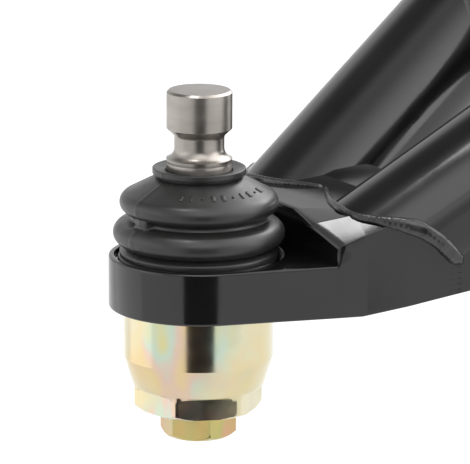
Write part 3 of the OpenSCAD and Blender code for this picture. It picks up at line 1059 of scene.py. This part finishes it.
def barrel_welds():
    bodies = []
    for side in (-1, 1):
        def outward(p):
            from_pivot = Vector((p.x - BARREL.x, 0, p.z - BARREL.z)).normalized()
            axis_point = mirrored(LEG_AIM, side)
            way = mirrored(UPPER_DIR, side)
            foot = axis_point + way * (p - axis_point).dot(way)
            return from_pivot + (p - foot).normalized()

        line = barrel_weld_line(side)
        bodies.append(bead(line, lambda t: BARREL_BEAD_R, outward, closed=True, seed=30 + side))
    points, faces = merged(bodies)
    weld_piece("barrel_weld_beads", points, faces, "barrel_welds")


# ---------------- gusset
GUSSET_TILT = math.radians(17)
GUSSET_CORNER = Vector((41, 0, 8))
# Height and drawn-in edge of the plate's layers; only its part beyond this length is drawn in
GUSSET_LAYERS = ((0, 0.6), (0.6, 0.0), (4.4, 0.0), (4.8, 0.25), (5.0, 0.8))
GUSSET_HIDDEN = 5


def gusset():
    """The small plate that closes the crotch, with a soft edge where it shows."""
    along_x = Vector((math.cos(GUSSET_TILT), 0, math.sin(GUSSET_TILT)))
    up = Vector((-math.sin(GUSSET_TILT), 0, math.cos(GUSSET_TILT)))
    plan = rounded(
        [(0, -9), (12, -11.5), (20.5, -5), (20.5, 5), (12, 11.5), (0, 9)], [0, 2, 4, 4, 2, 0], 6,
    )
    rings = []
    for h, s in GUSSET_LAYERS:
        ring = []
        for u, v in plan:
            back = u - (s if u > GUSSET_HIDDEN else 0)
            ring.append(tuple(GUSSET_CORNER + along_x * back + Vector((0, v, 0)) + up * h))
        rings.append(ring)
    points, faces = loft(rings)
    make_piece("crotch_plate", points, faces, "arm", COAT, ["crotch_gusset"], crease=35)


# ---------------- pivots
BARREL_HALF = 24.0
BORE_R = 18.0
FLANGE_R = 24.0
FLANGE_T = 6.0
SLEEVE_R = 9.5
BOLT_R = 7.1
FLANGE_END = BARREL_HALF + FLANGE_T
SLEEVE_HALF = FLANGE_END + 0.5
WASHER_R = FLANGE_R - 2
WASHER_END = SLEEVE_HALF + 2.0
TURNED_CREASE = 30


def turned(outline, side, flip):
    """A closed outline of (radius, distance) turned about the pivot axis, at one barrel."""
    points, faces = lathe(outline, TURNED_SEGMENTS)
    return [(BARREL.x + x, side * BARREL.y + flip * z, BARREL.z + y) for x, y, z in points], faces


def bush_half():
    """A flanged bush half's outline, from the barrel's middle out to the flange's grooved face."""
    inside, outside = SLEEVE_R + 0.06, BORE_R - 0.05
    groove = FLANGE_END - 0.7
    return rounded(
        [
            (inside, 0.5), (outside, 0.5), (outside, BARREL_HALF), (FLANGE_R, BARREL_HALF),
            (FLANGE_R, FLANGE_END), (19.5, FLANGE_END), (18.8, groove), (12.8, groove),
            (12.1, FLANGE_END), (inside, FLANGE_END),
        ],
        [0.5, 0.5, 0.3, 0.6, 1.4, 0.4, 0.4, 0.4, 0.4, 0.5],
    )


def pivots():
    wall = rounded(
        [(BORE_R, -BARREL_HALF), (BARREL_R, -BARREL_HALF), (BARREL_R, BARREL_HALF), (BORE_R, BARREL_HALF)],
        [0.7, 0.9, 0.9, 0.7],
    )
    tube = rounded(
        [(BOLT_R, -SLEEVE_HALF), (SLEEVE_R, -SLEEVE_HALF), (SLEEVE_R, SLEEVE_HALF), (BOLT_R, SLEEVE_HALF)],
        [0.4, 0.5, 0.5, 0.4],
    )
    disc = rounded(
        [(BOLT_R, SLEEVE_HALF), (WASHER_R, SLEEVE_HALF), (WASHER_R, WASHER_END), (BOLT_R, WASHER_END)],
        [0.2, 0.3, 0.5, 0.35],
    )
    for side, end in ((-1, "front"), (1, "rear")):
        points, faces = turned(wall, side, 1)
        make_piece(
            f"{end}_barrel_shell", points, faces, "arm", COAT, [f"{end}_pivot_barrel"],
            TURNED_CREASE,
        )
        for place, flip in (("outer", side), ("inner", -side)):
            points, faces = turned(bush_half(), side, flip)
            make_piece(
                f"{end}_{place}_bush_half", points, faces, "arm", BUSH,
                [f"{end}_{place}_bush"], TURNED_CREASE,
            )
        points, faces = turned(tube, side, 1)
        make_piece(
            f"{end}_sleeve_tube", points, faces, "chassis_sleeves", PLAIN_STEEL,
            [f"{end}_inner_sleeve"], TURNED_CREASE,
        )
    points, faces = merged([turned(disc, side, flip) for side in (-1, 1) for flip in (-1, 1)])
    make_piece(
        "thrust_washer_set", points, faces, "chassis_sleeves", PLAIN_STEEL,
        ["pivot_thrust_washers"], TURNED_CREASE,
    )


# ---------------- light and floor
def card(name, centre, toward, width, height, strength=0.0):
    """A flat black card of the given size in metres that faces a point, or a softbox where it has a
    strength. The camera doesn't see it."""
    mesh = bpy.data.meshes.new(name)
    w, h = width / 2, height / 2
    mesh.from_pydata([(-w, -h, 0), (w, -h, 0), (w, h, 0), (-w, h, 0)], [], [(0, 1, 2, 3)])
    thing = bpy.data.objects.new(name, mesh)
    bpy.context.collection.objects.link(thing)
    thing.location = centre
    thing.rotation_mode = "QUATERNION"
    thing.rotation_quaternion = (Vector(toward) - Vector(centre)).to_track_quat("Z", "Y")
    material = bpy.data.materials.new(name + "_surface")
    material.use_nodes = True
    shader = material.node_tree.nodes["Principled BSDF"]
    shader.inputs["Base Color"].default_value = (0, 0, 0, 1)
    shader.inputs["Roughness"].default_value = 1.0
    if strength:
        shader.inputs["Emission Color"].default_value = (1, 1, 1, 1)
        shader.inputs["Emission Strength"].default_value = strength
    mesh.materials.append(material)
    thing.visible_camera = False


FLOOR_DROP = 0.42
FLOOR_HALF = 12
FLOOR_GLOW = 0.93
WORLD_LIGHT = 0.9
# Broad soft lights of the studio: azimuth, elevation, half width in degrees and strength. The last
# one is a shade
GLOWS = (
    (70, 28, 58, 2.6),
    (113, 27, 25, 3.4),
    (-25, 38, 36, 1.6),
    (-110, -5, 45, 1.2),
    (-165, 58, 34, -0.7),
)
# Share of a soft light's half width where it is at full strength
GLOW_CORE = 0.25
# The cards and the left softbox aim beside the ring. The first and the last stand lower than the ring
CARD_AIM = ORIGIN + Vector((0.04, 0, 0))
DARK_DROP = Vector((0, 0, 0.095))
LEFT_DROP = Vector((0, 0, 0.12))
SHOULDER = at(34, -31, 9)


def direction(azimuth, elevation):
    """A unit vector, by the compass angle and height that the camera's own are given in."""
    a, e = math.radians(azimuth), math.radians(elevation)
    return Vector((math.sin(a) * math.cos(e), -math.cos(a) * math.cos(e), math.sin(e)))


def studio_world():
    """A pale room with broad soft lights; the camera itself sees plain white."""
    world = bpy.data.worlds.new("studio")
    world.use_nodes = True
    tree = world.node_tree
    background = tree.nodes["Background"]
    background.inputs["Color"].default_value = (1, 1, 1, 1)
    where = tree.nodes.new("ShaderNodeTexCoord").outputs["Generated"]
    total = None
    for azimuth, elevation, half, strength in GLOWS:
        dot = tree.nodes.new("ShaderNodeVectorMath")
        dot.operation = "DOT_PRODUCT"
        dot.inputs[1].default_value = direction(azimuth, elevation)
        tree.links.new(where, dot.inputs[0])
        fall = tree.nodes.new("ShaderNodeMapRange")
        fall.interpolation_type = "SMOOTHSTEP"
        fall.inputs["From Min"].default_value = math.cos(math.radians(half))
        fall.inputs["From Max"].default_value = math.cos(math.radians(half * GLOW_CORE))
        fall.inputs["To Min"].default_value = 0
        fall.inputs["To Max"].default_value = strength
        tree.links.new(dot.outputs["Value"], fall.inputs["Value"])
        add = tree.nodes.new("ShaderNodeMath")
        add.operation = "ADD"
        add.inputs[1].default_value = WORLD_LIGHT
        if total:
            tree.links.new(total, add.inputs[1])
        tree.links.new(fall.outputs["Result"], add.inputs[0])
        total = add.outputs["Value"]
    plain = tree.nodes.new("ShaderNodeMix")
    seen = tree.nodes.new("ShaderNodeLightPath").outputs["Is Camera Ray"]
    plain.inputs[3].default_value = 1.0
    tree.links.new(seen, plain.inputs[0])
    tree.links.new(total, plain.inputs[2])
    tree.links.new(plain.outputs[0], background.inputs["Strength"])
    bpy.context.scene.world = world


def surroundings():
    studio_world()
    bpy.context.scene.view_settings.view_transform = "Standard"

    w = FLOOR_HALF
    floor_mesh = bpy.data.meshes.new("floor")
    floor_mesh.from_pydata([(-w, -w, 0), (w, -w, 0), (w, w, 0), (-w, w, 0)], [], [(0, 1, 2, 3)])
    floor = bpy.data.objects.new("floor", floor_mesh)
    bpy.context.collection.objects.link(floor)
    floor.location = (0, 0, ORIGIN.z - FLOOR_DROP)
    m = Nodes("pale_floor")
    tone = m.tones(m.noise(3, 3), (0.11, 0.11, 0.11), (0.13, 0.13, 0.13))
    m.set(Base_Color=tone, Roughness=0.9, Emission_Color=(1, 1, 1), Emission_Strength=FLOOR_GLOW)
    floor_mesh.materials.append(m.material)

    dark = ORIGIN + direction(-27, 0) * 0.3 - DARK_DROP
    card("dark_card", dark, CARD_AIM - DARK_DROP, 0.23, 0.33)
    card("dark_rail", ORIGIN + direction(-20, 20) * 1.1, CARD_AIM, 1.6, 0.018)
    left = ORIGIN + direction(-134, 0) * 0.95 - LEFT_DROP
    card("left_softbox", left, CARD_AIM - LEFT_DROP, 0.95, 0.6, 1.5)
    card("small_softbox", SHOULDER + direction(-80, 73) * 1.5, SHOULDER, 0.28, 0.28, 18.0)


# ---------------- the whole object
make_camera()
ball_stud()
boot_lower()
boot_upper()
boot_collar()
boot_marks()
housing()
plug()
nose()
for leg_side in (-1, 1):
    leg(leg_side)
    nose_weld(leg_side)
brace_welds()
barrel_welds()
gusset()
pivots()
# CAD nodes that are seen as they are, with these finishes
CARRIED = {
    "cross_brace_tube": COAT,
    "boot_clip_ring": DARK_STEEL,
    "upper_bearing_race": PLAIN_STEEL,
    "lower_bearing_cup": POLYMER,
    "preload_spring": PLAIN_STEEL,
    "pressure_plate": PLAIN_STEEL,
}
for node_name, finish in CARRIED.items():
    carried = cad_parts[node_name]
    carried.data.materials.clear()
    carried.data.materials.append(finish)
surroundings()
